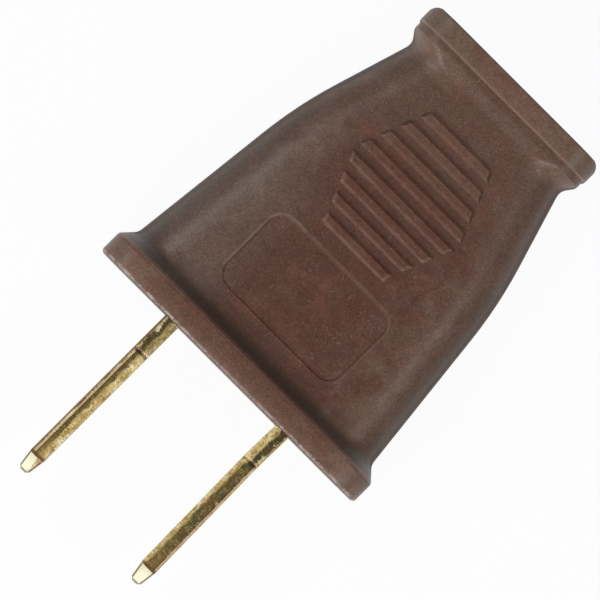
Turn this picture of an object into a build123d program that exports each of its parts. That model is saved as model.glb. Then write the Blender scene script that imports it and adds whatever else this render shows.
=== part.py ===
"""A brown moulded two-prong plug, bare at the back where its cord would go in.

Millimetres. The origin is the middle of the front face, the one that meets the outlet.
X runs along the plug and is positive the way the blades point, Y runs across the two
blades, and Z is square to the broad faces. The plug lies flat, as on a table.
Left and right are as seen looking the way the blades point, so left is +Y.
"""

import os
from math import radians, tan

from build123d import *

os.makedirs("parts", exist_ok=True)

# Blades, on the standard pattern for a flat two-blade plug
blade_pitch = 12.7
blade_width = 6.35
blade_thickness = 1.45
blade_reach = 17.2
blade_hole_diameter = 3.2
blade_hole_reach = 11.7
tip_bevel_length = 1.75
tip_thickness = 1.0
tip_nose = 0.25
tip_corner_radius = 1.5
edge_ease = 0.2
nick_reach = 3.55
nick_width = 0.45
nick_depth = 0.16
left_blade_kink = -0.07
left_blade_drift = 0.16

# Blade tab inside the core
tab_shoulder = 0.305
tab_gap = 0.22
heel_length = 1.9
blade_bend_radius = 0.5

# Terminal screws, of the binding-head kind
screw_setback = 8.3
screw_diameter = 3.5
screw_length = 3.9
screw_head_diameter = 5.6
screw_head_height = 1.55
screw_head_bevel = 0.5
screw_slot_width = 0.9
screw_slot_depth = 0.8
screw_tip_chamfer = 0.4

# Housing, the outer shape. Its height follows from the blades that it holds, and its
# widths from the front rim
housing_length = 33.5
shoulder_setback = 19.7
shoulder_narrowing = 4.4
neck_setback = 29.9
neck_narrowing = 6.2
shoulder_bend_radius = 38.0
body_corner_radius = 3.9

# Front rim, the flared flange that meets the outlet
front_rim_width = 29.0
front_rim_side_stand = 0.7
front_rim_top_stand = 1.1
front_rim_depth = 2.05
front_rim_corner = 3.1
front_rim_edge = 0.28
front_rim_back_slope = 1.15
front_rim_back_edge = 0.45
front_rim_root = 1.2

# Rear rim, a bar with a slightly prouder band at its end
rear_rim_side_stand = 0.77
rear_rim_top_stand = 0.2
rear_rim_depth = 2.5
rear_rim_corner = 2.7
rear_rim_plan_corner = 1.0
rear_rim_cutter_gap = 0.03
neck_bend_radius = 1.25
rear_band_depth = 1.85
rear_band_stand = 0.17
rear_band_edge = 0.14

# Hollow of the housing
side_wall = 1.75
top_wall = 1.5
hollow_depth = 25.0
hollow_corner = 1.9
ledge = 0.55
mouth_chamfer = 0.2
cord_bore_diameter = 7.0
cord_bore_lead_in = 0.6

# Grip ribs, a six-sided patch of eight bars on each broad face
rib_count = 8
rib_first_setback = 14.8
rib_pitch = 1.67
rib_width = 1.0
rib_height = 0.32
rib_flank_angle = 38.0
rib_end_chamfer = 0.25
rib_patch_front_half = 3.7
rib_patch_middle_half = 6.2
rib_patch_rear_half = 3.9
rib_rooting = 0.25

# Shallow panel on the upper broad face
panel_front_setback = 5.05
panel_length = 7.75
panel_width = 13.2
panel_corner = 1.5
panel_depth = 0.2
panel_wall_angle = 45.0

# Core, the inner moulding that carries the blades
core_clearance = 0.1
face_plate_thickness = 2.8
core_rear_setback = 15.6
barrier_rear_setback = 19.4
barrier_thickness = 1.8
barrier_gap = 0.35
heel_rear_wall = 1.2
blade_clearance = 0.05
shank_clearance = 0.35
catch_setback = 6.2
catch_length = 1.6
catch_width = 4.0
catch_height = 0.4
core_edge = 0.2

# Screw threads are plain cylinders, a little smaller than their tapped holes
thread_clearance = 0.04

# Sizes that follow from the ones above
body_height = blade_width + 2 * (tab_shoulder + tab_gap + top_wall)
body_front_width = front_rim_width - 2 * front_rim_side_stand
body_shoulder_width = body_front_width - shoulder_narrowing
body_neck_width = body_shoulder_width - neck_narrowing
front_rim_height = body_height + 2 * front_rim_top_stand
rear_rim_width = body_neck_width + 2 * rear_rim_side_stand
rear_rim_height = body_height + 2 * rear_rim_top_stand
front_root_setback = front_rim_depth + front_rim_back_slope
blade_centre = blade_pitch / 2
blade_inner_face = blade_centre - blade_thickness / 2
blade_outer_face = blade_centre + blade_thickness / 2
block_half_width = blade_inner_face - blade_clearance
heel_setback = core_rear_setback - heel_rear_wall - blade_thickness / 2
shank_hole_depth = screw_length - blade_thickness - blade_clearance + shank_clearance
catch_top = body_height / 2 - top_wall - core_clearance + catch_height
tab_half_width = blade_width / 2 + tab_shoulder
barrier_half_height = body_height / 2 - top_wall - barrier_gap
rib_foot_width = rib_width + 2 * rib_rooting * tan(radians(rib_flank_angle))
rib_patch_rear = rib_first_setback + (rib_count - 1) * rib_pitch
rib_patch_middle = (rib_first_setback + rib_patch_rear) / 2
plate_side_inset = side_wall - ledge
plate_top_inset = top_wall - ledge


def body_half_width(setback):
    """Half the body's width, from the gentle front taper or the steeper rear one."""
    if setback < shoulder_setback:
        start, start_width = 0.0, body_front_width
        end, end_width = shoulder_setback, body_shoulder_width
    else:
        start, start_width = shoulder_setback, body_shoulder_width
        end, end_width = neck_setback, body_neck_width
    share = (setback - start) / (end - start)
    return (start_width + share * (end_width - start_width)) / 2


def tapered_form(front, rear, side_inset, top_inset, corner):
    """A closed form inside the body's own taper, pulled in by an even wall."""
    front_half = body_half_width(front) - side_inset
    rear_half = body_half_width(rear) - side_inset
    shoulder_half = body_half_width(shoulder_setback) - side_inset
    points = [(-front, 0), (-front, front_half)]
    if front < shoulder_setback < rear:
        points.append((-shoulder_setback, shoulder_half))
    points += [(-rear, rear_half), (-rear, 0)]
    with BuildPart() as form:
        with BuildSketch(Plane.XY):
            with BuildLine():
                Polyline(*points, close=True)
            make_face()
            mirror(about=Plane.XZ)
        extrude(amount=body_height / 2 - top_inset, both=True)
        top = form.faces().sort_by(Axis.Z)[-1]
        bottom = form.faces().sort_by(Axis.Z)[0]
        long_edges = top.edges() + bottom.edges()
        fillet(long_edges.filter_by(Axis.Y, reverse=True), corner)
    return form.part


def rib_half_length(setback):
    """Half a rib's length, on the slanting sides of the six-sided patch."""
    if setback < rib_patch_middle:
        end, end_half = rib_first_setback, rib_patch_front_half
    else:
        end, end_half = rib_patch_rear, rib_patch_rear_half
    share = (setback - end) / (rib_patch_middle - end)
    return end_half + share * (rib_patch_middle_half - end_half)


# Plane of the upper broad face, with its own X running rearwards
upper_face = Plane(origin=(0, 0, body_height / 2), x_dir=(-1, 0, 0), z_dir=(0, 0, 1))

# Inner forms that are taken out of the housing
hollow = tapered_form(0, hollow_depth, side_wall, top_wall, hollow_corner)
plate_recess = tapered_form(
    0, face_plate_thickness, plate_side_inset, plate_top_inset, hollow_corner + ledge
)

# Rear rim: a rounded bar in section with a prouder band at its end, and its upright corners
# rounded off in plan. The cutter stands a little proud of the band, so that its arcs cross
# the flat sides cleanly
with BuildPart() as rear_rim:
    with BuildSketch(Plane.YZ.offset(-housing_length)):
        RectangleRounded(
            rear_rim_width + 2 * rear_band_stand,
            rear_rim_height + 2 * rear_band_stand,
            rear_rim_corner + rear_band_stand,
        )
    extrude(amount=rear_band_depth)
    chamfer(rear_rim.faces().filter_by(Axis.X).edges(), rear_band_edge)
    with BuildSketch(Plane.YZ.offset(-housing_length + rear_band_edge)):
        RectangleRounded(rear_rim_width, rear_rim_height, rear_rim_corner)
    extrude(amount=rear_rim_depth - rear_band_edge)
    with BuildSketch(Plane.XY) as rear_rim_plan:
        with Locations((-housing_length - rear_rim_cutter_gap, 0)):
            Rectangle(
                2 * rear_rim_depth,
                rear_rim_width + 2 * rear_band_stand + 2 * rear_rim_cutter_gap,
                align=(Align.MIN, Align.CENTER),
            )
        fillet(rear_rim_plan.vertices().group_by(Axis.X)[0], rear_rim_plan_corner)
    extrude(amount=rear_rim_height, both=True, mode=Mode.INTERSECT)

# Grip ribs, with sloping flanks and ends that follow the six-sided patch
with BuildPart() as ribs:
    with BuildSketch(upper_face.offset(-rib_rooting)) as rib_feet:
        for i in range(rib_count):
            front = rib_first_setback + i * rib_pitch - rib_foot_width / 2
            rear = front + rib_foot_width
            with BuildLine():
                Polyline(
                    (front, rib_half_length(front)),
                    (front, -rib_half_length(front)),
                    (rear, -rib_half_length(rear)),
                    (rear, rib_half_length(rear)),
                    close=True,
                )
            make_face()
        chamfer(rib_feet.vertices(), rib_end_chamfer)
    extrude(amount=rib_rooting + rib_height, taper=rib_flank_angle)
    mirror(about=Plane.XY)

# Sections of the two rims where they flare out of the body
with BuildSketch(Plane.YZ.offset(-front_rim_depth)) as front_rim_section:
    RectangleRounded(front_rim_width, front_rim_height, front_rim_corner)
with BuildSketch(Plane.YZ.offset(-housing_length + rear_rim_depth)) as rear_rim_section:
    RectangleRounded(rear_rim_width, rear_rim_height, rear_rim_corner)


def edges_at(part, setback):
    """The edges of a part that lie wholly in one plane square to its length."""
    return part.edges().filter_by(
        lambda edge: abs(edge.bounding_box().min.X + setback) < 0.001
        and abs(edge.bounding_box().max.X + setback) < 0.001
    )


# Housing: one brown moulding, hollow from the front
with BuildPart() as housing:
    with BuildSketch(Plane.XY):
        with BuildLine():
            Polyline(
                (-front_root_setback, 0),
                (-front_root_setback, body_half_width(front_root_setback)),
                (-shoulder_setback, body_shoulder_width / 2),
                (-neck_setback, body_neck_width / 2),
                (-neck_setback, 0),
                close=True,
            )
        make_face()
        mirror(about=Plane.XZ)
    extrude(amount=body_height / 2, both=True)
    shoulder_edges = housing.edges().filter_by(Axis.Z).filter_by(
        lambda edge: abs(edge.center().X + shoulder_setback) < 0.01
    )
    fillet(shoulder_edges, shoulder_bend_radius)
    broad_faces = [housing.faces().sort_by(Axis.Z)[-1], housing.faces().sort_by(Axis.Z)[0]]
    long_edges = broad_faces[0].edges() + broad_faces[1].edges()
    fillet(long_edges.filter_by(Axis.Y, reverse=True), body_corner_radius)

    # Front rim, with its rounded edges and the hollow curve behind it
    root_face = housing.faces().sort_by(Axis.X)[-1]
    loft([front_rim_section.sketch.faces()[0], root_face], ruled=True)
    with BuildSketch(Plane.YZ):
        RectangleRounded(front_rim_width, front_rim_height, front_rim_corner)
    extrude(amount=-front_rim_depth)
    fillet(edges_at(housing, front_root_setback), front_rim_root)
    fillet(edges_at(housing, front_rim_depth), front_rim_back_edge)
    fillet(edges_at(housing, 0), front_rim_edge)

    # Rear rim, flared out of the neck
    neck_face = housing.faces().sort_by(Axis.X)[0]
    loft([rear_rim_section.sketch.faces()[0], neck_face], ruled=True)
    fillet(edges_at(housing, neck_setback), neck_bend_radius)
    add(rear_rim.part)

    # Hollow, open at the front, with a ledge that the core's face plate seats on
    add(hollow, mode=Mode.SUBTRACT)
    add(plate_recess, mode=Mode.SUBTRACT)
    mouth = housing.faces().sort_by(Axis.X)[-1].inner_wires()[0].edges()
    chamfer(mouth, mouth_chamfer)

    # Round hole for the cord, eased at its outer end
    with BuildSketch(Plane.YZ.offset(-housing_length)):
        Circle(cord_bore_diameter / 2)
    extrude(amount=housing_length - hollow_depth + 1, mode=Mode.SUBTRACT)
    cord_edge = housing.edges().filter_by(GeomType.CIRCLE).sort_by(Axis.X)[0]
    chamfer(cord_edge, cord_bore_lead_in)

    # Pockets in the two broad walls, which the core's catches snap into
    with BuildSketch(Plane.XY):
        with Locations((-catch_setback - catch_length / 2, 0)):
            Rectangle(catch_length + 2 * core_clearance, catch_width + 2 * core_clearance)
    extrude(amount=catch_top + core_clearance, both=True, mode=Mode.SUBTRACT)

    add(ribs.part)

    # Shallow panel, sunk in the upper broad face
    with BuildSketch(upper_face) as panel:
        with Locations((panel_front_setback + panel_length / 2, 0)):
            RectangleRounded(panel_length, panel_width, panel_corner)
    extrude(amount=-panel_depth, taper=panel_wall_angle, mode=Mode.SUBTRACT)

housing.part.label = "housing"
export_step(housing.part, "parts/housing.step")

# Core: the inner moulding that carries the blades, pushed in from the front
core_block = tapered_form(
    0,
    core_rear_setback,
    side_wall + core_clearance,
    top_wall + core_clearance,
    hollow_corner,
)
core_plate = tapered_form(
    0,
    face_plate_thickness,
    plate_side_inset + core_clearance,
    plate_top_inset + core_clearance,
    hollow_corner + ledge,
)
with BuildPart() as core:
    add(core_block)
    # Only the middle of the block stays behind the face plate, so each blade's tab
    # and screw stand in an open bay at its side
    with BuildSketch(Plane.XY) as bays:
        for side in (1, -1):
            with Locations((-face_plate_thickness, side * block_half_width)):
                Rectangle(
                    core_rear_setback,
                    body_front_width,
                    align=(Align.MAX, Align.MIN if side > 0 else Align.MAX),
                )
    extrude(amount=body_height, both=True, mode=Mode.SUBTRACT)
    add(core_plate)
    # Barrier between the two wires
    with BuildSketch(Plane.YZ.offset(-core_rear_setback)):
        Rectangle(barrier_thickness, 2 * barrier_half_height)
    extrude(amount=-(barrier_rear_setback - core_rear_setback))
    # Slots for the blades
    with BuildSketch(Plane.YZ):
        with Locations((blade_centre, 0), (-blade_centre, 0)):
            Rectangle(
                blade_thickness + 2 * blade_clearance,
                blade_width + 2 * blade_clearance,
            )
    extrude(amount=-face_plate_thickness, mode=Mode.SUBTRACT)
    # Grooves that hold the bent heels of the blades, and holes for the screw shanks
    with BuildSketch(Plane.XY):
        for side in (1, -1):
            with Locations((-heel_setback, side * (block_half_width - heel_length / 2))):
                Rectangle(
                    blade_thickness + 2 * blade_clearance,
                    heel_length + 4 * blade_clearance,
                )
    extrude(amount=body_height, both=True, mode=Mode.SUBTRACT)
    for side in (1, -1):
        with BuildSketch(Plane.XZ.offset(-side * block_half_width)):
            with Locations((-screw_setback, 0)):
                Circle(screw_diameter / 2 + shank_clearance)
        extrude(amount=side * shank_hole_depth, mode=Mode.SUBTRACT)
    chamfer(core.faces().sort_by(Axis.X)[-1].outer_wire().edges(), core_edge)
    # Catches on the two broad sides, ramped so that the core pushes in and stays
    with BuildSketch(Plane.XZ):
        for side in (1, -1):
            with BuildLine():
                Polyline(
                    (-catch_setback, side * (catch_top - catch_height - core_clearance)),
                    (-catch_setback, side * catch_top),
                    (-catch_setback - catch_length, side * (catch_top - catch_height)),
                    (-catch_setback - catch_length, side * (catch_top - 3 * catch_height)),
                    close=True,
                )
            make_face()
    extrude(amount=catch_width / 2, both=True)

core.part.label = "core"
export_step(core.part, "parts/core.step")


def make_blade(side, kink, drift):
    """A stamped brass blade with its tab and bent heel; side is +1 for the left one.

    The kink is how far it has bent outwards at the nick, the drift how far at the tip.
    """
    half = blade_thickness / 2
    tip_half = tip_thickness / 2
    bevel_start = blade_reach - tip_bevel_length
    bevel_drift = kink + (drift - kink) * (bevel_start - nick_reach) / (blade_reach - nick_reach)
    heel_tip = blade_inner_face - heel_length
    with BuildPart() as blade:
        # Seen from above: heel, tab and blade
        with BuildSketch(Plane.XY) as plan:
            with BuildLine():
                Polyline(
                    (-heel_setback - half, heel_tip),
                    (-heel_setback - half, blade_outer_face),
                    (0, blade_outer_face),
                    (nick_reach, blade_outer_face + kink),
                    (blade_reach, blade_outer_face + drift),
                    (blade_reach, blade_inner_face + drift),
                    (nick_reach, blade_inner_face + kink),
                    (0, blade_inner_face),
                    (-heel_setback + half, blade_inner_face),
                    (-heel_setback + half, heel_tip),
                    close=True,
                )
            make_face()
            corners = plan.vertices().filter_by(
                lambda point: abs(point.Y - blade_outer_face) < 0.001 and point.X < -1
            )
            fillet(corners, blade_bend_radius + half)
        extrude(amount=tab_half_width + blade_width, both=True)
        # Seen from the side: the tab's shoulders behind the face plate, the rounded tip
        with BuildSketch(Plane.XZ) as side_view:
            with BuildLine():
                Polyline(
                    (-heel_setback - half, tab_half_width),
                    (-face_plate_thickness - blade_clearance, tab_half_width),
                    (-face_plate_thickness - blade_clearance, blade_width / 2),
                    (blade_reach, blade_width / 2),
                    (blade_reach, -blade_width / 2),
                    (-face_plate_thickness - blade_clearance, -blade_width / 2),
                    (-face_plate_thickness - blade_clearance, -tab_half_width),
                    (-heel_setback - half, -tab_half_width),
                    close=True,
                )
            make_face()
            fillet(side_view.vertices().group_by(Axis.X)[-1], tip_corner_radius)
        extrude(amount=body_front_width, both=True, mode=Mode.INTERSECT)
        # Outer edges eased by the stamping
        eased = blade.edges().filter_by(
            lambda edge: edge.center().Y > blade_centre + kink
            and abs(abs(edge.center().Z) - blade_width / 2) < 0.001
            and nick_reach < edge.center().X < bevel_start
        )
        chamfer(eased, edge_ease)
        # Bevel on both faces at the tip
        with BuildSketch(Plane.XY):
            for face_side in (1, -1):
                with BuildLine():
                    Polyline(
                        (bevel_start, blade_centre + bevel_drift + face_side * half),
                        (blade_reach - tip_nose, blade_centre + drift + face_side * tip_half),
                        (blade_reach, blade_centre + drift + face_side * (tip_half - tip_nose)),
                        (blade_reach, blade_centre + drift + face_side * blade_thickness),
                        (bevel_start, blade_centre + bevel_drift + face_side * blade_thickness),
                        close=True,
                    )
                make_face()
        extrude(amount=blade_width, both=True, mode=Mode.SUBTRACT)
        # Small nick across both narrow edges
        with BuildSketch(Plane.XZ):
            for edge_side in (1, -1):
                with BuildLine():
                    Polyline(
                        (nick_reach - nick_width / 2, edge_side * blade_width / 2),
                        (nick_reach, edge_side * (blade_width / 2 - nick_depth)),
                        (nick_reach + nick_width / 2, edge_side * blade_width / 2),
                        close=True,
                    )
                make_face()
        extrude(amount=body_front_width, both=True, mode=Mode.SUBTRACT)
        # Hole near the tip, and the tapped hole for the terminal screw
        with BuildSketch(Plane.XZ):
            with Locations((blade_hole_reach, 0)):
                Circle(blade_hole_diameter / 2)
            with Locations((-screw_setback, 0)):
                Circle(screw_diameter / 2 + thread_clearance)
        extrude(amount=body_front_width, both=True, mode=Mode.SUBTRACT)
    return blade.part if side > 0 else blade.part.mirror(Plane.XZ)


def make_screw(side):
    """A binding-head screw, with its head outwards; side is +1 for the left one."""
    with BuildPart() as screw:
        with BuildSketch(Plane.XZ.offset(-blade_outer_face)):
            with Locations((-screw_setback, 0)):
                Circle(screw_head_diameter / 2)
        extrude(amount=-screw_head_height)
        rim = screw.faces().sort_by(Axis.Y)[-1].edges()
        chamfer(rim, screw_head_bevel)
        with BuildSketch(Plane.XZ.offset(-blade_outer_face)):
            with Locations((-screw_setback, 0)):
                Circle(screw_diameter / 2)
        extrude(amount=screw_length)
        chamfer(screw.faces().sort_by(Axis.Y)[0].edges(), screw_tip_chamfer)
        with BuildSketch(Plane.XZ.offset(-blade_outer_face - screw_head_height)):
            with Locations((-screw_setback, 0)):
                Rectangle(screw_slot_width, screw_head_diameter)
        extrude(amount=screw_slot_depth, mode=Mode.SUBTRACT)
    return screw.part if side > 0 else screw.part.mirror(Plane.XZ)


blades = {
    "blade_left": make_blade(1, left_blade_kink, left_blade_drift),
    "blade_right": make_blade(-1, 0, 0),
}
screws = {
    "terminal_screw_left": make_screw(1),
    "terminal_screw_right": make_screw(-1),
}
for name, piece in {**blades, **screws}.items():
    piece.label = name
    export_step(piece, f"parts/{name}.step")
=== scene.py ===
"""Looks, light and camera for the two-prong plug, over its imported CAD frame.

Metres, in the CAD frame: X is positive the way the blades point, Y runs across the two
blades and Z is square to the broad faces. The measures below are in millimetres where
their names end in _mm.
"""

import math

import bpy
from mathutils import Matrix, Vector

MM = 0.001

# Places of the colour sockets in a mix node
FIRST_COLOUR, SECOND_COLOUR = 6, 7
MIXED_COLOUR = 2

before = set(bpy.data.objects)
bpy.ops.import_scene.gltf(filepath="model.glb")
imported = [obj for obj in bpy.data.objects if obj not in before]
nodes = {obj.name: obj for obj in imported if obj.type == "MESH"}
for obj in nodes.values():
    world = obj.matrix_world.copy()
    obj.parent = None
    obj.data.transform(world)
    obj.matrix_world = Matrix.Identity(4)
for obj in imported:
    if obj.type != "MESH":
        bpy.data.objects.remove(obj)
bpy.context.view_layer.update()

# Sizes that the looks follow, the same as in the CAD source
blade_centre_mm = 6.35
blade_half_mm = 0.725
blade_width_mm = 6.35
blade_reach_mm = 17.2
nick_reach_mm = 3.55
bevel_start_mm = blade_reach_mm - 1.75
nose_start_mm = blade_reach_mm - 0.25
nose_half_mm = 0.5
tip_corner_mm = 1.5
left_kink_mm = -0.07
left_drift_mm = 0.16
front_rim_back_mm = -2.05
front_rim_foot_mm = -6.3
broad_face_mm = 5.2
panel_centre_mm = -8.925
panel_half_mm = (3.875, 6.6)
panel_front_mm = panel_centre_mm + panel_half_mm[0]
panel_corner_mm = 1.5
rib_first_mm = -14.8
rib_pitch_mm = 1.67
rib_last_mm = rib_first_mm - 7 * rib_pitch_mm
rear_end_mm = -33.5
rear_band_mm = rear_end_mm + 1.85
rear_rim_foot_mm = -5.57
# Half widths of the six-sided rib patch, whose two ends are taken as alike
rib_patch_half_mm = 5.85
rib_middle_half_mm = 6.2
rib_end_half_mm = 3.8
# Where the flare in front of the rear band begins and ends
flare_front_mm = -29.2
flare_rear_mm = -31.1


def linear(red, green, blue):
    """A screen colour, 0 to 255, as linear light."""
    values = []
    for level in (red, green, blue):
        share = level / 255
        values.append(share / 12.92 if share <= 0.04045 else ((share + 0.055) / 1.055) ** 2.4)
    return (*values, 1.0)


class Surface:
    """A node material. Each call adds a node and gives back its output socket."""

    def __init__(self, name):
        self.material = bpy.data.materials.new(name)
        self.material.use_nodes = True
        self.tree = self.material.node_tree
        self.shader = self.tree.nodes["Principled BSDF"]
        self.place = self.tree.nodes.new("ShaderNodeTexCoord").outputs["Object"]
        axes = self.tree.nodes.new("ShaderNodeSeparateXYZ")
        self.link(self.scaled(self.place, 1 / MM), axes.inputs[0])
        self.x, self.y, self.z = axes.outputs

    def link(self, source, socket):
        if isinstance(source, bpy.types.NodeSocket):
            self.tree.links.new(source, socket)
        else:
            socket.default_value = source

    def scaled(self, vector, factors):
        """The vector times one number or three."""
        node = self.tree.nodes.new("ShaderNodeVectorMath")
        node.operation = "MULTIPLY"
        self.link(vector, node.inputs[0])
        node.inputs[1].default_value = factors if isinstance(factors, tuple) else (factors,) * 3
        return node.outputs[0]

    def calc(self, operation, first, second=0.0):
        node = self.tree.nodes.new("ShaderNodeMath")
        node.operation = operation
        self.link(first, node.inputs[0])
        self.link(second, node.inputs[1])
        return node.outputs[0]

    def step(self, value, start, end, low=0.0, high=1.0, smooth=True):
        """Goes from low to high while value goes from start to end."""
        node = self.tree.nodes.new("ShaderNodeMapRange")
        node.interpolation_type = "SMOOTHSTEP" if smooth else "LINEAR"
        self.link(value, node.inputs["Value"])
        node.inputs["From Min"].default_value = start
        node.inputs["From Max"].default_value = end
        node.inputs["To Min"].default_value = low
        node.inputs["To Max"].default_value = high
        return node.outputs[0]

    def within(self, value, low, high, soft):
        """1 between low and high, falling to 0 over the soft width outside them."""
        return self.calc(
            "MULTIPLY",
            self.step(value, low - soft, low),
            self.step(value, high, high + soft, 1.0, 0.0),
        )

    def noise(self, grain_mm, detail=3.0, roughness=0.5, stretch=(1, 1, 1), offset=0.0):
        """Noise with grains about grain_mm across, stretched by the three factors."""
        node = self.tree.nodes.new("ShaderNodeTexNoise")
        node.noise_dimensions = "4D"
        node.inputs["W"].default_value = offset
        node.inputs["Scale"].default_value = 1 / (grain_mm * MM)
        node.inputs["Detail"].default_value = detail
        node.inputs["Roughness"].default_value = roughness
        self.link(self.scaled(self.place, tuple(1 / f for f in stretch)), node.inputs["Vector"])
        return node.outputs["Fac"]

    def cells(self, grain_mm):
        """Distance to the nearest of many scattered points, for pits and specks."""
        node = self.tree.nodes.new("ShaderNodeTexVoronoi")
        node.inputs["Scale"].default_value = 1 / (grain_mm * MM)
        self.link(self.place, node.inputs["Vector"])
        return node.outputs["Distance"]

    def ramp(self, value, stops):
        """Colours placed along a value from 0 to 1."""
        node = self.tree.nodes.new("ShaderNodeValToRGB")
        while len(node.color_ramp.elements) < len(stops):
            node.color_ramp.elements.new(0.5)
        for element, (place, colour) in zip(node.color_ramp.elements, stops):
            element.position = place
            element.color = colour
        self.link(value, node.inputs[0])
        return node.outputs[0]

    def mix(self, share, first, second):
        """The first colour, turned into the second one by the share."""
        node = self.tree.nodes.new("ShaderNodeMix")
        node.data_type = "RGBA"
        self.link(share, node.inputs["Factor"])
        self.link(first, node.inputs[FIRST_COLOUR])
        self.link(second, node.inputs[SECOND_COLOUR])
        return node.outputs[MIXED_COLOUR]

    def shade(self, colour, value, dark, light, low=0.3, high=0.7):
        """The colour made darker or lighter while value goes from low to high."""
        node = self.tree.nodes.new("ShaderNodeVectorMath")
        node.operation = "SCALE"
        self.link(colour[:3] if isinstance(colour, tuple) else colour, node.inputs[0])
        self.link(self.step(value, low, high, dark, light, smooth=False), node.inputs["Scale"])
        return node.outputs[0]

    def both(self, *masks):
        """The product of several masks."""
        whole = masks[0]
        for mask in masks[1:]:
            whole = self.calc("MULTIPLY", whole, mask)
        return whole

    def relief(self, height, depth_mm, below=None):
        """A bump of the given depth, on top of another one where there is one."""
        node = self.tree.nodes.new("ShaderNodeBump")
        node.inputs["Distance"].default_value = depth_mm * MM
        self.link(height, node.inputs["Height"])
        if below is not None:
            self.link(below, node.inputs["Normal"])
        return node.outputs[0]

    def finish(self, colour, roughness, normal):
        self.link(colour, self.shader.inputs["Base Color"])
        self.link(roughness, self.shader.inputs["Roughness"])
        self.link(normal, self.shader.inputs["Normal"])
        return self.material


def brown_ground(s, side, cloud):
    """The brown, with its broad tints, its patches of other browns and painted highlights on
    the rims.
    """
    # Redder in the middle of the broad faces, lighter and browner towards the sides and the
    # rear; on the rounded sides this lighter brown is partly a painted sheen
    spread = s.calc("ADD", side, s.step(cloud, 0.3, 0.7, -2.5, 2.5, smooth=False))
    middle = s.both(s.step(spread, 5.0, 10.0, 1.0, 0.0), s.step(s.x, -27.0, -20.0, 0.3, 1.0))
    warmth = s.step(s.y, -8.0, 8.0, smooth=False)
    heart = s.mix(warmth, linear(83, 53, 41), linear(82, 49, 37))
    colour = s.mix(middle, linear(95, 70, 57), heart)
    # The front rim is lighter at its ends and towards its front edge, both painted highlights
    front_rim = s.step(s.x, front_rim_back_mm - 0.3, front_rim_back_mm)
    colour = s.mix(front_rim, colour, linear(93, 62, 48))
    ends = s.both(front_rim, s.step(side, 8.5, 11.5))
    colour = s.mix(ends, colour, linear(108, 82, 68))
    rim_front_sheen = s.both(front_rim, s.step(s.x, -1.3, -0.1, 0.0, 0.7))
    colour = s.mix(rim_front_sheen, colour, linear(120, 94, 80))
    # The flare of the rear rim is lighter at its sides, a painted highlight where it faces the
    # front lamp, and the band at its end is lighter too
    flare = s.both(
        s.step(s.x, flare_front_mm, flare_front_mm + 0.6, 1.0, 0.0),
        s.step(s.x, flare_rear_mm - 0.3, flare_rear_mm),
        s.step(side, 1.0, 6.0, 0.0, 0.6),
        s.step(s.y, -2.0, 4.0, 1.0, 0.3),
    )
    colour = s.mix(flare, colour, linear(110, 88, 73))
    rear_band = s.step(s.x, rear_band_mm - 0.05, rear_band_mm + 0.05, 1.0, 0.0)
    band_brown = s.mix(s.step(side, 1.0, 7.0), linear(108, 79, 66), linear(103, 83, 68))
    colour = s.mix(rear_band, colour, band_brown)
    # Patches of redder, greener and greyer brown, a few millimetres across
    ruddy = s.step(s.noise(1.9, 4.0, 0.6, offset=3.0), 0.50, 0.68, 0.0, 0.55)
    colour = s.mix(ruddy, colour, linear(100, 60, 48))
    olive = s.step(s.noise(1.5, 4.0, 0.65, offset=11.0), 0.52, 0.70, 0.0, 0.4)
    colour = s.mix(olive, colour, linear(84, 69, 49))
    bloom = s.both(
        s.step(s.noise(2.2, 4.0, 0.6, offset=7.0), 0.48, 0.70, 0.0, 0.55),
        s.step(side, 4.0, 9.5, 0.2, 1.0),
    )
    colour = s.mix(bloom, colour, linear(110, 92, 80))
    # The right side is greyer than the left one
    greyer = s.both(
        s.step(s.y, -8.0, -3.5, 0.4, 0.0),
        s.step(s.x, -20.0, -12.0, 0.2, 1.0),
        s.step(s.x, front_rim_back_mm - 0.6, front_rim_back_mm, 1.0, 0.0),
    )
    return s.mix(greyer, colour, linear(100, 88, 80))


def mark_panel(s, colour, side, mottle):
    """Painted light on the shaded front wall of the sunken panel, and a painted highlight line
    round its other sides.
    """
    # Distance from the panel's rounded outline, negative inside it
    off_centre = s.calc("ABSOLUTE", s.calc("SUBTRACT", s.x, panel_centre_mm))
    over_x = s.calc("SUBTRACT", off_centre, panel_half_mm[0] - panel_corner_mm)
    over_y = s.calc("SUBTRACT", side, panel_half_mm[1] - panel_corner_mm)
    outside = s.calc(
        "SQRT",
        s.calc(
            "ADD",
            s.calc("POWER", s.calc("MAXIMUM", over_x, 0.0), 2.0),
            s.calc("POWER", s.calc("MAXIMUM", over_y, 0.0), 2.0),
        ),
    )
    inside = s.calc("MINIMUM", s.calc("MAXIMUM", over_x, over_y), 0.0)
    edge = s.calc("SUBTRACT", s.calc("ADD", outside, inside), panel_corner_mm)

    # Painted light on the front wall, which faces away from the lamp
    painted_wall_light = s.both(
        s.within(edge, -0.22, 0.02, 0.05),
        s.step(s.x, panel_front_mm - 0.85, panel_front_mm - 0.55),
        s.step(s.z, broad_face_mm - 0.3, broad_face_mm - 0.2),
    )
    colour = s.shade(colour, painted_wall_light, 1.0, 1.5, 0.0, 1.0)
    # A painted highlight line round the panel's edge, fainter towards the front and the left
    towards_left = s.calc("ADD", s.y, s.calc("MULTIPLY", s.x, 0.35))
    border_highlight = s.both(
        s.within(edge, 0.02, 0.12, 0.10),
        s.step(s.z, broad_face_mm - 0.2, broad_face_mm - 0.1),
        s.step(s.x, panel_front_mm - 1.55, panel_front_mm - 0.55, 1.0, 0.0),
        s.step(towards_left, -11.0, -5.0, 0.75, 0.28),
        s.step(mottle, 0.35, 0.6, 0.5, 1.0),
    )
    return s.mix(border_highlight, colour, linear(120, 98, 85))


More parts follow.
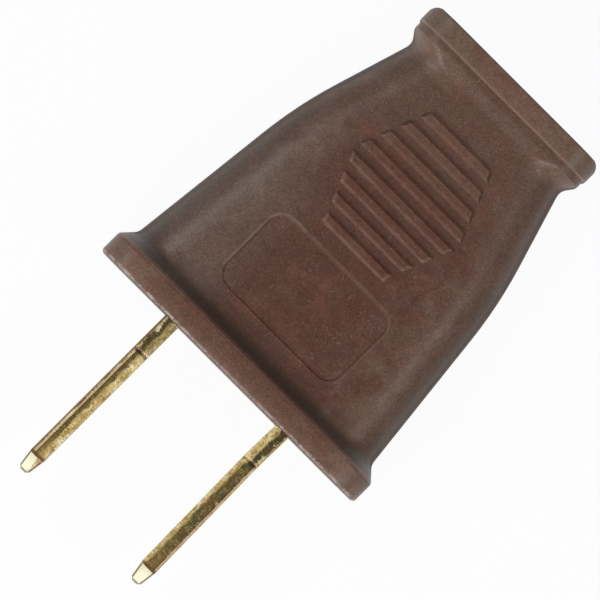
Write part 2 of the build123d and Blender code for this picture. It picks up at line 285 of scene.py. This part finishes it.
def mark_ribs(s, colour, side, mottle):
    """Upper ribs: lighter than the panel, with painted highlights on the front flanks and ends,
    painted light on the rear flanks and painted shade in between.
    """
    # phase is 0 along the middle of each rib, and runs from -0.5 to 0.5 rearwards; the
    # hundred only keeps the count of ribs above 0
    count = s.calc("DIVIDE", s.calc("SUBTRACT", rib_first_mm, s.x), rib_pitch_mm)
    phase = s.calc("SUBTRACT", s.calc("FRACT", s.calc("ADD", count, 100.5)), 0.5)
    # Distance past the slanting sides of the six-sided patch
    off_middle = s.calc("ABSOLUTE", s.calc("SUBTRACT", s.x, (rib_first_mm + rib_last_mm) / 2))
    limit = s.step(
        off_middle, 0.0, rib_patch_half_mm, rib_middle_half_mm, rib_end_half_mm, smooth=False
    )
    past = s.calc("SUBTRACT", side, limit)
    ribs = s.both(
        s.within(s.x, rib_last_mm - 0.8, rib_first_mm + 0.8, 0.2),
        s.step(s.z, broad_face_mm - 0.1, broad_face_mm - 0.05),
    )
    patch = s.both(ribs, s.step(past, -0.45, -0.2, 1.0, 0.0))
    colour = s.shade(colour, patch, 1.0, 1.12, 0.0, 1.0)
    # Painted shade in the gaps between the ribs
    from_gap = s.calc("SUBTRACT", 0.5, s.calc("ABSOLUTE", phase))
    gap_shade = s.both(patch, s.step(from_gap, 0.14, 0.24, 1.0, 0.0), 0.2)
    colour = s.mix(gap_shade, colour, linear(56, 36, 32))
    # Painted light on the rear flanks, which face away from the lamp
    lit_rear_flank = s.both(patch, s.within(phase, 0.15, 0.28, 0.04))
    colour = s.shade(colour, lit_rear_flank, 1.0, 1.6, 0.0, 1.0)
    # Painted highlight on the front flanks, which face the lamp, broken up by the mottle
    front_flank_highlight = s.both(
        patch,
        s.within(phase, -0.27, -0.17, 0.05),
        s.step(mottle, 0.35, 0.6, 0.15, 0.35),
        s.step(s.x, -25.0, -18.0, 0.4, 1.0),
    )
    colour = s.mix(front_flank_highlight, colour, linear(126, 102, 92))
    # Painted highlight on the chamfered ends of the ribs
    rib_end_highlight = s.both(
        ribs,
        s.within(past, -0.48, -0.30, 0.10),
        s.within(phase, -0.22, 0.14, 0.06),
        s.step(s.x, -24.0, -18.0, 0.15, 0.45),
    )
    return s.mix(rib_end_highlight, colour, linear(134, 110, 98))


def brown_moulding():
    """Old brown phenolic moulding: mottled, satin, with pale specks, painted shade and painted
    highlights.
    """
    s = Surface("brown_moulding")
    side = s.calc("ABSOLUTE", s.y)
    height = s.calc("ABSOLUTE", s.z)
    cloud = s.noise(3.2, 4.0, 0.6)
    colour = brown_ground(s, side, cloud)
    # Tone: a soft mottle and a fine grain
    mottle = s.noise(0.7, 3.0, 0.6, offset=13.0)
    grain = s.noise(0.15, 2.0, 0.65, offset=1.0)
    colour = s.shade(colour, mottle, 0.90, 1.10)
    colour = s.shade(colour, grain, 0.78, 1.22, 0.36, 0.64)
    # The rounded sides are darkened, a painted shade, less so towards the rear
    shade_height = s.calc("ADD", height, s.step(s.x, -24.0, -18.0, 1.2, 0.0))
    colour = s.shade(colour, shade_height, 0.72, 1.0, 3.6, 4.8)
    specks = s.both(
        s.step(s.noise(0.14, 1.0, 0.5, offset=5.0), 0.63, 0.70),
        s.step(s.noise(1.4, 2.0, 0.5, offset=9.0), 0.42, 0.58, 0.35, 1.0),
        0.3,
    )
    colour = s.mix(specks, colour, linear(150, 134, 118))
    # Painted shade behind the front rim, and painted light on the rim's rear edge
    cove = s.both(
        s.within(s.x, front_rim_back_mm - 0.85, front_rim_back_mm - 0.45, 0.7),
        s.step(mottle, 0.3, 0.6, 0.5, 0.75),
    )
    colour = s.mix(cove, colour, linear(56, 44, 37))
    # Painted shadow cast by the front rim, further back
    behind = s.both(
        s.within(s.x, front_rim_back_mm - 2.05, front_rim_back_mm - 1.45, 0.8),
        s.step(side, 9.0, 11.0, 1.0, 0.0),
        0.3,
    )
    colour = s.mix(behind, colour, linear(48, 32, 26))
    # Painted light on the rim's rear edge, which faces away from the lamp
    rim_edge = s.within(s.x, front_rim_back_mm - 0.29, front_rim_back_mm - 0.01, 0.08)
    colour = s.shade(colour, rim_edge, 1.0, 1.8, 0.0, 1.0)
    colour = mark_panel(s, colour, side, mottle)
    # Painted highlight along the edge of the rear band
    band_edge_highlight = s.both(s.within(s.x, rear_band_mm - 0.22, rear_band_mm - 0.02, 0.1), 0.55)
    colour = s.mix(band_edge_highlight, colour, linear(122, 94, 80))
    colour = mark_ribs(s, colour, side, mottle)
    # Painted highlight along the front edge, most of all towards its ends, and a dark front
    # face
    front_edge_highlight = s.both(
        s.within(s.x, -0.24, -0.10, 0.08),
        s.step(side, 2.0, 7.0, 0.35, 1.0),
        s.step(s.noise(0.6, 2.0, 0.6, offset=4.0), 0.42, 0.60, 0.0, 0.75),
    )
    colour = s.mix(front_edge_highlight, colour, linear(168, 152, 140))
    colour = s.mix(s.step(s.x, -0.07, -0.01, 0.0, 0.85), colour, linear(40, 38, 38))
    # Parting line of the mould round the middle
    flash = s.within(s.z, -0.035, 0.035, 0.03)
    colour = s.mix(s.both(flash, 0.35), colour, linear(132, 118, 108))

    # The rounded sides, where the shade is painted, are duller than the rest
    dull = s.both(
        s.step(height, 2.4, 4.4, 0.65, 0.0),
        s.step(s.x, front_rim_back_mm - 0.6, front_rim_back_mm, 1.0, 0.6),
    )
    roughness = s.calc("MAXIMUM", s.step(cloud, 0.3, 0.7, 0.36, 0.44), dull)
    broad = s.relief(s.noise(2.6, 2.0, 0.5, offset=2.0), 0.05)
    pitted = s.relief(s.step(s.cells(0.42), 0.0, 0.35), 0.012, broad)
    fine = s.relief(grain, 0.018, pitted)
    normal = s.relief(flash, 0.02, fine)
    s.shader.inputs["IOR"].default_value = 1.43
    return s.finish(colour, roughness, normal)


def dark_moulding():
    """Near-black inner moulding, smoother than the brown one, with dust on it."""
    s = Surface("dark_moulding")
    cloud = s.noise(2.4, 4.0, 0.6)
    colour = s.ramp(cloud, [
        (0.32, linear(36, 29, 26)),
        (0.52, linear(44, 36, 32)),
        (0.70, linear(60, 52, 47)),
    ])
    dust = s.step(s.noise(0.3, 3.0, 0.6, offset=6.0), 0.58, 0.72, 0.0, 0.35)
    colour = s.mix(dust, colour, linear(112, 102, 92))
    roughness = s.step(cloud, 0.3, 0.7, 0.34, 0.5)
    normal = s.relief(s.noise(0.35, 3.0, 0.6, offset=2.0), 0.012, s.relief(cloud, 0.03))
    return s.finish(colour, roughness, normal)


def blade_brass(name, side, kink_mm, drift_mm, dark_band, base_band, line_mm, nick_stain,
                wedge, offset):
    """Stamped brass: its narrow edges keep the bright sheared band and the dark torn one.

    side is +1 for the left blade. dark_band and base_band say where the dark band lies
    across the thickness, in front of the nick and behind it; the outer face is at the
    positive end. line_mm is where the painted highlight by the outer corner starts,
    nick_stain is how dark the nick is and wedge is how far the coppery stain covers the tip's
    inner side.
    """
    s = Surface(name)
    # Place across the thickness, from the blade's own middle, with its kink and drift
    bend = s.step(s.x, 0.0, nick_reach_mm, 0.0, kink_mm, smooth=False)
    if drift_mm:
        lean = s.step(s.x, nick_reach_mm, blade_reach_mm, 0.0, drift_mm - kink_mm, smooth=False)
        bend = s.calc("ADD", bend, lean)
    across = s.calc("SUBTRACT", s.calc("MULTIPLY", s.y, float(side)), blade_centre_mm)
    across = s.calc("SUBTRACT", across, bend)

    # Torn metal: short striations across the blade, blotches along it
    striation = s.noise(0.20, 3.0, 0.7, stretch=(0.8, 1.6, 1.5), offset=offset)
    blotch = s.noise(0.55, 4.0, 0.7, stretch=(1.6, 0.8, 1.0), offset=offset + 2)
    ragged = s.calc("ADD", across, s.step(striation, 0.25, 0.75, -0.16, 0.16, smooth=False))
    ragged = s.calc("ADD", ragged, s.step(blotch, 0.3, 0.7, -0.22, 0.22, smooth=False))

    bright = s.ramp(blotch, [
        (0.30, linear(150, 116, 58)),
        (0.44, linear(192, 164, 98)),
        (0.56, linear(226, 206, 150)),
        (0.68, linear(255, 246, 214)),
    ])
    bright = s.shade(bright, striation, 0.55, 1.3, 0.36, 0.62)
    dark = s.ramp(striation, [
        (0.30, linear(48, 36, 16)),
        (0.44, linear(86, 70, 30)),
        (0.56, linear(116, 98, 46)),
        (0.70, linear(172, 152, 92)),
    ])
    # The left blade has more green in its dark band
    green_start = 0.47 if side > 0 else 0.54
    green_noise = s.noise(0.5, 3.0, 0.6, offset=offset + 4)
    green = s.step(green_noise, green_start, green_start + 0.1, 0.0, 0.75)
    dark = s.mix(green, dark, linear(64, 69, 45))
    rust = s.step(s.noise(0.6, 3.0, 0.6, offset=offset + 5), 0.56, 0.66, 0.0, 0.6)
    dark = s.mix(rust, dark, linear(122, 76, 34))
    # Behind the nick the dark metal is darker, and on the right blade all of it is
    ahead = s.step(s.x, nick_reach_mm - 0.1, nick_reach_mm + 0.7)
    dark = s.shade(dark, ahead, 0.68, 1.0, 0.0, 1.0)
    if side < 0:
        bright = s.shade(bright, ahead, 0.68, 1.0, 0.0, 1.0)
    low = s.step(ahead, 0.0, 1.0, base_band[0], dark_band[0], smooth=False)
    high = s.step(ahead, 0.0, 1.0, base_band[1], dark_band[1], smooth=False)
    above = s.calc("SUBTRACT", ragged, low)
    under = s.calc("SUBTRACT", high, ragged)
    band = s.both(s.step(above, -0.07, 0.07), s.step(under, -0.05, 0.05))
    edge = s.mix(band, bright, dark)
    # The metal is more even and browner towards the tip
    even = s.both(s.step(s.x, 11.5, 15.3, 0.0, 0.55), s.step(across, -0.5, 0.0, 0.4, 1.0))
    edge = s.mix(even, edge, s.shade(linear(142, 116, 62), striation, 0.6, 1.4))
    # Painted highlight along the eased outer corner, with a dark line on each side of it; the
    # outer one is painted shade
    along = s.within(s.x, nick_reach_mm + 0.3, bevel_start_mm - 0.1, 0.3)
    inner_line = s.within(across, line_mm - 0.13, line_mm - 0.06, 0.05)
    edge = s.mix(s.both(inner_line, along, 0.7), edge, linear(88, 58, 28))
    corner_highlight = s.within(across, line_mm, line_mm + 0.08, 0.05)
    edge = s.mix(s.both(corner_highlight, along, 0.9), edge, linear(212, 186, 146))
    outer_edge_shade = s.step(across, line_mm + 0.15, line_mm + 0.21, 0.0, 0.8)
    edge = s.mix(outer_edge_shade, edge, linear(122, 88, 54))
    # Brown stain in the nick, and a line of tarnish before the bevelled tip
    nick = s.both(
        s.within(s.x, nick_reach_mm - 0.12, nick_reach_mm + 0.18, 0.2),
        s.within(ragged, -0.1, 0.55, 0.2),
        nick_stain,
    )
    edge = s.mix(nick, edge, linear(92, 58, 48))
    tarnish_line = s.within(s.x, bevel_start_mm - 0.06, bevel_start_mm + 0.10, 0.12)
    edge = s.mix(s.both(tarnish_line, 0.85), edge, linear(104, 66, 30))

    # Tip painted bright, a painted reflection of the lamp on its rounded end, with a thin dark
    # outline
    thickness_half = s.step(
        s.x, bevel_start_mm, nose_start_mm, blade_half_mm, nose_half_mm, smooth=False
    )
    tip = s.step(s.x, bevel_start_mm + 0.14, bevel_start_mm + 0.24)
    tip_reflection = s.shade(linear(231, 230, 198), blotch, 0.95, 1.0)
    edge = s.mix(tip, edge, tip_reflection)
    stain = s.both(
        tip,
        s.step(ragged, -0.42, -0.18, wedge, 0.0),
        s.step(s.x, 16.4, 17.0, 1.0, 0.4),
    )
    edge = s.mix(stain, edge, linear(172, 132, 78))
    inside = s.calc("SUBTRACT", s.calc("ABSOLUTE", across), thickness_half)
    outline = s.both(tip, s.step(inside, -0.17, -0.09, 0.0, 0.95))
    edge = s.mix(outline, edge, linear(98, 82, 48))
    nose = s.step(s.x, blade_reach_mm - 0.26, blade_reach_mm - 0.12, 0.0, 0.8)
    edge = s.mix(nose, edge, linear(96, 82, 48))

    # Flat faces: drawn brass with lengthwise scratches and tarnish towards the plug
    scratch = s.noise(0.35, 4.0, 0.7, stretch=(14.0, 1.0, 0.5), offset=offset + 8)
    flat = s.ramp(scratch, [
        (0.30, linear(172, 138, 78)),
        (0.50, linear(204, 174, 108)),
        (0.70, linear(232, 208, 148)),
    ])
    tarnish = s.both(
        s.step(s.noise(1.8, 4.0, 0.6, offset=offset + 9), 0.45, 0.65),
        s.step(s.x, 0.0, 12.0, 0.75, 0.25),
    )
    flat = s.mix(tarnish, flat, linear(120, 92, 50))
    # The narrow edge follows the rounded corners of the tip
    round_x = s.calc("MAXIMUM", s.calc("SUBTRACT", s.x, blade_reach_mm - tip_corner_mm), 0.0)
    left_over = s.calc("SUBTRACT", tip_corner_mm ** 2, s.calc("POWER", round_x, 2.0))
    round_z = s.calc("SQRT", s.calc("MAXIMUM", left_over, 0.0))
    over = s.calc("SUBTRACT", s.calc("ABSOLUTE", s.z), round_z)
    on_edge = s.step(s.calc("SUBTRACT", over, blade_width_mm / 2 - tip_corner_mm), -0.26, -0.16)
    colour = s.mix(on_edge, flat, edge)

    # The narrow edge is less of a mirror than the flat faces, and the tip's edge, where the
    # reflection is painted, is none
    tip_reflection_edge = s.both(tip, on_edge)
    roughness = s.step(striation, 0.3, 0.7, 0.5, 0.34)
    roughness = s.calc("MAXIMUM", roughness, s.both(tip_reflection_edge, 0.6))
    rough = s.relief(s.both(striation, s.step(tip, 0.0, 1.0, 1.0, 0.15)), 0.04)
    normal = s.relief(scratch, 0.006, rough)
    metal = s.both(s.step(on_edge, 0.0, 1.0, 0.9, 0.3), s.step(tip_reflection_edge, 0.0, 1.0, 1.0, 0.0))
    s.link(metal, s.shader.inputs["Metallic"])
    return s.finish(colour, roughness, normal)


def screw_plating():
    """Dull nickel plating with tool marks and a little tarnish."""
    s = Surface("screw_plating")
    marks = s.noise(0.25, 4.0, 0.7, stretch=(1.0, 1.0, 5.0))
    colour = s.ramp(marks, [
        (0.32, linear(134, 126, 112)),
        (0.52, linear(176, 170, 158)),
        (0.70, linear(206, 202, 194)),
    ])
    tarnish = s.step(s.noise(1.1, 4.0, 0.6, offset=3.0), 0.5, 0.7, 0.0, 0.6)
    colour = s.mix(tarnish, colour, linear(118, 98, 72))
    roughness = s.step(marks, 0.3, 0.7, 0.44, 0.28)
    s.shader.inputs["Metallic"].default_value = 1.0
    return s.finish(colour, roughness, s.relief(marks, 0.01))


def dress(node, material):
    mesh = nodes[node].data
    mesh.materials.clear()
    mesh.materials.append(material)


dress("housing", brown_moulding())
dress("core", dark_moulding())
dress("blade_left", blade_brass(
    "blade_brass_left",
    side=1,
    kink_mm=left_kink_mm,
    drift_mm=left_drift_mm,
    dark_band=(-0.40, 0.50),
    base_band=(-0.05, 0.43),
    line_mm=0.54,
    nick_stain=0.3,
    wedge=0.15,
    offset=20.0,
))
dress("blade_right", blade_brass(
    "blade_brass_right",
    side=-1,
    kink_mm=0.0,
    drift_mm=0.0,
    dark_band=(-0.05, 0.50),
    base_band=(-0.1, 0.44),
    line_mm=0.38,
    nick_stain=0.7,
    wedge=0.9,
    offset=40.0,
))
plating = screw_plating()
dress("terminal_screw_left", plating)
dress("terminal_screw_right", plating)


def white_paper():
    """Plain paper for the object's light and shadow, seen white by the camera and in metal."""
    paper = bpy.data.materials.new("white_floor")
    paper.use_nodes = True
    tree = paper.node_tree
    shader = tree.nodes["Principled BSDF"]
    shader.inputs["Base Color"].default_value = (0.7, 0.7, 0.7, 1)
    shader.inputs["Roughness"].default_value = 0.9
    shader.inputs["Specular IOR Level"].default_value = 0.1
    glow = tree.nodes.new("ShaderNodeEmission")
    glow.inputs["Color"].default_value = (1, 1, 1, 1)
    glow.inputs["Strength"].default_value = 1.0
    rays = tree.nodes.new("ShaderNodeLightPath")
    seen = rays.outputs["Is Camera Ray"]
    for kind in ("Is Glossy Ray", "Is Transmission Ray"):
        either = tree.nodes.new("ShaderNodeMath")
        either.operation = "MAXIMUM"
        tree.links.new(seen, either.inputs[0])
        tree.links.new(rays.outputs[kind], either.inputs[1])
        seen = either.outputs[0]
    # The rest of the paper shows as it is lit, with the shadow on it
    glow_share = 0.95
    share = tree.nodes.new("ShaderNodeMath")
    share.operation = "MULTIPLY"
    share.inputs[1].default_value = glow_share
    tree.links.new(seen, share.inputs[0])
    blend = tree.nodes.new("ShaderNodeMixShader")
    tree.links.new(share.outputs[0], blend.inputs[0])
    tree.links.new(shader.outputs[0], blend.inputs[1])
    tree.links.new(glow.outputs[0], blend.inputs[2])
    tree.links.new(blend.outputs[0], tree.nodes["Material Output"].inputs["Surface"])
    return paper


# Floor: the plug rests on its front rim and on its rear rim, which stands out less
floor_half = 1.5
rear_edge_mm = 0.15
front_rest = Vector((front_rim_back_mm, 0, front_rim_foot_mm)) * MM
rear_rest = Vector((rear_end_mm + rear_edge_mm, 0, rear_rim_foot_mm)) * MM
slope = (rear_rest - front_rest).normalized()
sideways = Vector((0, 1, 0))
corners = [
    front_rest + slope * rearward * floor_half + sideways * leftward * floor_half
    for rearward, leftward in ((-1, -1), (1, -1), (1, 1), (-1, 1))
]
floor_mesh = bpy.data.meshes.new("floor")
floor_mesh.from_pydata(corners, [], [(0, 1, 2, 3)])
floor = bpy.data.objects.new("floor", floor_mesh)
bpy.context.scene.collection.objects.link(floor)
floor_mesh.materials.append(white_paper())

# Light: an even white room, a large soft lamp beyond the blades and one at each side
room_strength = 0.27
lamp_distance = 0.5
lamp_target = Vector((-8.5, 0, 0)) * MM

world = bpy.data.worlds.new("room")
bpy.context.scene.world = world
world.use_nodes = True
room = world.node_tree.nodes["Background"]
room.inputs["Color"].default_value = (1, 1, 1, 1)
room.inputs["Strength"].default_value = room_strength


def lamp(name, direction, width, height, radiance):
    """A soft rectangular lamp that faces the plug from the given direction."""
    data = bpy.data.lights.new(name, "AREA")
    data.shape = "RECTANGLE"
    data.size = width
    data.size_y = height
    data.energy = radiance * math.pi * width * height
    lamp_object = bpy.data.objects.new(name, data)
    away = Vector(direction).normalized()
    turned = away.to_track_quat("Z", "Y").to_matrix().to_4x4()
    lamp_object.matrix_world = Matrix.Translation(lamp_target + away * lamp_distance) @ turned
    bpy.context.scene.collection.objects.link(lamp_object)


lamp("lamp_front", (1.0, 0.0, 0.8), width=0.36, height=0.24, radiance=7.0)
lamp("lamp_left", (0.1, 1.0, 1.15), width=0.28, height=0.10, radiance=5.6)
lamp("lamp_right", (0.1, -1.0, 1.15), width=0.28, height=0.10, radiance=6.0)

# Camera: from above, turned so that the blades point to the lower left
picture_px = 600
px_per_mm = 12.3
camera_distance = 0.9
camera_target = Vector((-8.56, -0.20, 4.0)) * MM
back = Vector((0.018, 0.0, 1.0)).normalized()
rough_up = Vector((-0.7067, -0.7073, 0.0))
up = (rough_up - back * rough_up.dot(back)).normalized()
right = up.cross(back)
camera_data = bpy.data.cameras.new("camera")
camera_data.sensor_width = 36.0
camera_data.lens = camera_data.sensor_width * camera_distance / (picture_px / px_per_mm * MM)
camera_data.clip_start = 0.05
camera_data.clip_end = 10.0
camera = bpy.data.objects.new("camera", camera_data)
turned = Matrix((right, up, back)).transposed().to_4x4()
camera.matrix_world = Matrix.Translation(camera_target + back * camera_distance) @ turned
bpy.context.scene.collection.objects.link(camera)
bpy.context.scene.camera = camera

bpy.context.scene.view_settings.view_transform = "Standard"
